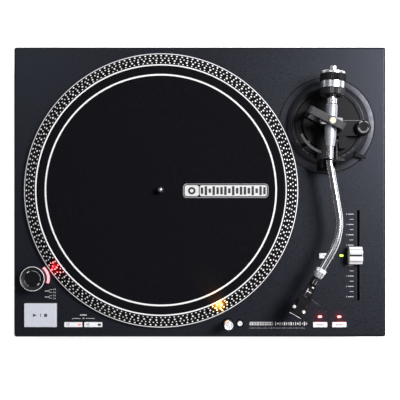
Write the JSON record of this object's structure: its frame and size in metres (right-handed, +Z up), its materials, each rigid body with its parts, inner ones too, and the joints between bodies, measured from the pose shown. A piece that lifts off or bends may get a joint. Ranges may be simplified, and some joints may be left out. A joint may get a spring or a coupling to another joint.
{
  "type": "turntable record player",
  "caption": "Direct-drive record player with a dotted strobe platter, felt slipmat, S-shaped tonearm, pitch fader, strobe tower and pop-up lamp.",
  "frame": {"origin": "middle of the plinth's outline, on the surface that the feet stand on", "axes": "+X to the right of a person at the controls, +Y to the back, +Z up"},
  "size_m": [0.453, 0.353, 0.144],
  "materials": {
    "deck_paint": "satin, fine texture",
    "tray_rubber": "matt",
    "black_plastic": "satin",
    "dark_metal": "satin",
    "felt": "felt",
    "platter_metal": "machined",
    "arm_metal": "polished",
    "bare_aluminium": "cast",
    "steel": "brushed",
    "brass": "turned",
    "button_grey": "satin silver paint",
    "white_plastic": "satin",
    "print_white": "screen print",
    "red_window": "clear red",
    "lamp_green": "clear green",
    "board_green": "solder mask",
    "copper": "enamelled wire",
    "ferrite": "sintered",
    "foot_rubber": "matt"
  },
  "bodies": {
    "plinth": {"top_plate": "deck_paint", "base_tray": "tray_rubber", "bottom_plate": "steel", "transformer": "dark_metal", "control_board": "board_green", "motor_stator": "copper", "bearing_housing": "bare_aluminium", "rear_panel": "dark_metal", "rca_sockets": "black_plastic", "power_inlet": "black_plastic", "ground_post": "steel", "strobe_tower": "black_plastic", "strobe_window": "red_window", "fader_body": "steel", "arm_collar": "deck_paint"},
    "platter": {"platter": "platter_metal", "rotor_magnet": "ferrite", "spindle": "steel"},
    "slipmat": {"slipmat": "felt"},
    "power_knob": {"power_knob": "dark_metal"},
    "start_button": {"start_button": "button_grey"},
    "button_33": {"button_33": "button_grey"},
    "button_45": {"button_45": "button_grey"},
    "reverse_button": {"reverse_button": "button_grey"},
    "range_button": {"range_button": "button_grey"},
    "reset_button": {"reset_button": "button_grey"},
    "target_lamp": {"target_lamp": "dark_metal"},
    "lamp_button": {"lamp_button": "dark_metal"},
    "fader_knob": {"fader_knob": "white_plastic"},
    "height_ring": {"height_ring": "dark_metal"},
    "height_lock": {"height_lock": "dark_metal"},
    "arm_base": {"arm_base": "deck_paint", "bearing_yoke": "dark_metal", "pivot_screw": "brass", "antiskate_housing": "deck_paint", "arm_rest": "black_plastic"},
    "arm_clip": {"arm_clip": "black_plastic"},
    "lifter": {"lifter": "black_plastic"},
    "cue_lever": {"cue_lever": "dark_metal"},
    "antiskate_knob": {"antiskate_knob": "dark_metal"},
    "gimbal": {"gimbal": "steel"},
    "arm": {"arm_housing": "arm_metal", "arm_tube": "arm_metal", "rear_shaft": "arm_metal", "headshell": "black_plastic", "cartridge": "black_plastic", "stylus": "white_plastic"},
    "weight_sleeve": {"weight_sleeve": "brass"},
    "counterweight": {"counterweight": "arm_metal"},
    "force_dial": {"force_dial": "black_plastic"},
    "locking_collar": {"locking_collar": "arm_metal"},
    "ground_nut": {"ground_nut": "brass"},
    "foot_front_left": {"foot_front_left": "foot_rubber", "foot_stud_front_left": "steel"},
    "foot_front_right": {"foot_front_right": "foot_rubber", "foot_stud_front_right": "steel"},
    "foot_rear_left": {"foot_rear_left": "foot_rubber", "foot_stud_rear_left": "steel"},
    "foot_rear_right": {"foot_rear_right": "foot_rubber", "foot_stud_rear_right": "steel"}
  },
  "joints": [
    {"name": "platter_spin", "type": "hinge", "parent": "plinth", "child": "platter", "pos_m": [-0.0468, 0.0015, 0.09], "axis": [0, 0, -1], "continuous": true},
    {"name": "mat_slip", "type": "hinge", "parent": "platter", "child": "slipmat", "pos_m": [-0.0468, 0.0015, 0.105], "axis": [0, 0, -1], "continuous": true},
    {"name": "power_turn", "type": "hinge", "parent": "plinth", "child": "power_knob", "pos_m": [-0.2006, -0.105, 0.105], "axis": [0, 0, -1], "range_deg": [0, 35]},
    {"name": "start_button_press", "type": "slide", "parent": "plinth", "child": "start_button", "axis": [0, 0, -1], "range_m": [0, 0.0012], "stiffness_N_per_m": 200, "springref_m": -0.004},
    {"name": "button_33_press", "type": "slide", "parent": "plinth", "child": "button_33", "axis": [0, 0, -1], "range_m": [0, 0.0012], "stiffness_N_per_m": 200, "springref_m": -0.004},
    {"name": "button_45_press", "type": "slide", "parent": "plinth", "child": "button_45", "axis": [0, 0, -1], "range_m": [0, 0.0012], "stiffness_N_per_m": 200, "springref_m": -0.004},
    {"name": "reverse_button_press", "type": "slide", "parent": "plinth", "child": "reverse_button", "axis": [0, 0, -1], "range_m": [0, 0.0012], "stiffness_N_per_m": 200, "springref_m": -0.004},
    {"name": "range_button_press", "type": "slide", "parent": "plinth", "child": "range_button", "axis": [0, 0, -1], "range_m": [0, 0.0012], "stiffness_N_per_m": 200, "springref_m": -0.004},
    {"name": "reset_button_press", "type": "slide", "parent": "plinth", "child": "reset_button", "axis": [0, 0, -1], "range_m": [0, 0.0012], "stiffness_N_per_m": 200, "springref_m": -0.004},
    {"name": "lamp_button_press", "type": "slide", "parent": "plinth", "child": "lamp_button", "axis": [0, 0, -1], "range_m": [0, 0.0018], "stiffness_N_per_m": 200, "springref_m": -0.004},
    {"name": "lamp_drop", "type": "slide", "parent": "plinth", "child": "target_lamp", "axis": [0, 0, -1], "range_m": [0, 0.022]},
    {"name": "pitch_slide", "type": "slide", "parent": "plinth", "child": "fader_knob", "axis": [0, 1, 0], "range_m": [-0.05, 0.05]},
    {"name": "height_ring_turn", "type": "hinge", "parent": "plinth", "child": "height_ring", "pos_m": [0.1543, 0.0808, 0.095], "axis": [0, 0, 1], "range_deg": [0, 180.1]},
    {"name": "base_rise", "type": "slide", "parent": "plinth", "child": "arm_base", "axis": [0, 0, 1], "range_m": [0, 0.006]},
    {"name": "height_lock_turn", "type": "hinge", "parent": "plinth", "child": "height_lock", "pos_m": [0.19107, 0.04403, 0.097], "axis": [0, 0, 1], "range_deg": [0, 40]},
    {"name": "clip_close", "type": "hinge", "parent": "arm_base", "child": "arm_clip", "pos_m": [0.161, 0.035, 0.1285], "axis": [0, -1, 0], "range_deg": [0, 90]},
    {"name": "lifter_rise", "type": "slide", "parent": "arm_base", "child": "lifter", "axis": [0, 0, 1], "range_m": [0, 0.0033]},
    {"name": "cue_turn", "type": "hinge", "parent": "arm_base", "child": "cue_lever", "pos_m": [0.1636, 0.06, 0.108], "axis": [-1, 0, 0], "range_deg": [0, 60]},
    {"name": "antiskate_turn", "type": "hinge", "parent": "arm_base", "child": "antiskate_knob", "pos_m": [0.195, 0.0755, 0.11], "axis": [0, 0, -1], "range_deg": [0, 270]},
    {"name": "arm_swing", "type": "hinge", "parent": "arm_base", "child": "gimbal", "pos_m": [0.1543, 0.0808, 0.1282], "axis": [0, 0, -1], "range_deg": [0, 47]},
    {"name": "arm_tilt", "type": "hinge", "parent": "gimbal", "child": "arm", "pos_m": [0.1543, 0.0808, 0.1282], "axis": [-0.999, 0.0436, 0], "range_deg": [0, 10]},
    {"name": "weight_travel", "type": "slide", "parent": "arm", "child": "weight_sleeve", "axis": [0.0436, 0.999, 0], "range_m": [-0.00251, 0.00501]},
    {"name": "weight_turn", "type": "hinge", "parent": "weight_sleeve", "child": "counterweight", "pos_m": [0.1543, 0.0808, 0.1282], "axis": [0.0436, 0.999, 0], "range_deg": [-360, 720]},
    {"name": "dial_turn", "type": "hinge", "parent": "counterweight", "child": "force_dial", "pos_m": [0.1543, 0.0808, 0.1282], "axis": [0.0436, 0.999, 0], "continuous": true},
    {"name": "locking_collar_turn", "type": "hinge", "parent": "arm", "child": "locking_collar", "pos_m": [0.1409, -0.09725, 0.1282], "axis": [-0.5, -0.866, 0], "range_deg": [0, 90]},
    {"name": "foot_front_left_turn", "type": "hinge", "parent": "plinth", "child": "foot_front_left", "pos_m": [-0.18, -0.13, 0.015], "axis": [0, 0, 1], "range_deg": [0, 720]},
    {"name": "foot_front_right_turn", "type": "hinge", "parent": "plinth", "child": "foot_front_right", "pos_m": [0.18, -0.13, 0.015], "axis": [0, 0, 1], "range_deg": [0, 720]},
    {"name": "foot_rear_left_turn", "type": "hinge", "parent": "plinth", "child": "foot_rear_left", "pos_m": [-0.18, 0.13, 0.015], "axis": [0, 0, 1], "range_deg": [0, 720]},
    {"name": "foot_rear_right_turn", "type": "hinge", "parent": "plinth", "child": "foot_rear_right", "pos_m": [0.18, 0.13, 0.015], "axis": [0, 0, 1], "range_deg": [0, 720]},
    {"name": "ground_nut_turn", "type": "hinge", "parent": "plinth", "child": "ground_nut", "pos_m": [0.095, 0.169, 0.048], "axis": [0, 1, 0], "range_deg": [0, 360]}
  ],
  "couplings": [
    {"joint": "height_ring_turn", "follows": "base_rise", "rad_per_m": 523.6},
    {"joint": "lifter_rise", "follows": "cue_turn", "m_per_rad": 0.0030558},
    {"joint": "weight_travel", "follows": "weight_turn", "m_per_rad": 0.00039789}
  ]
}
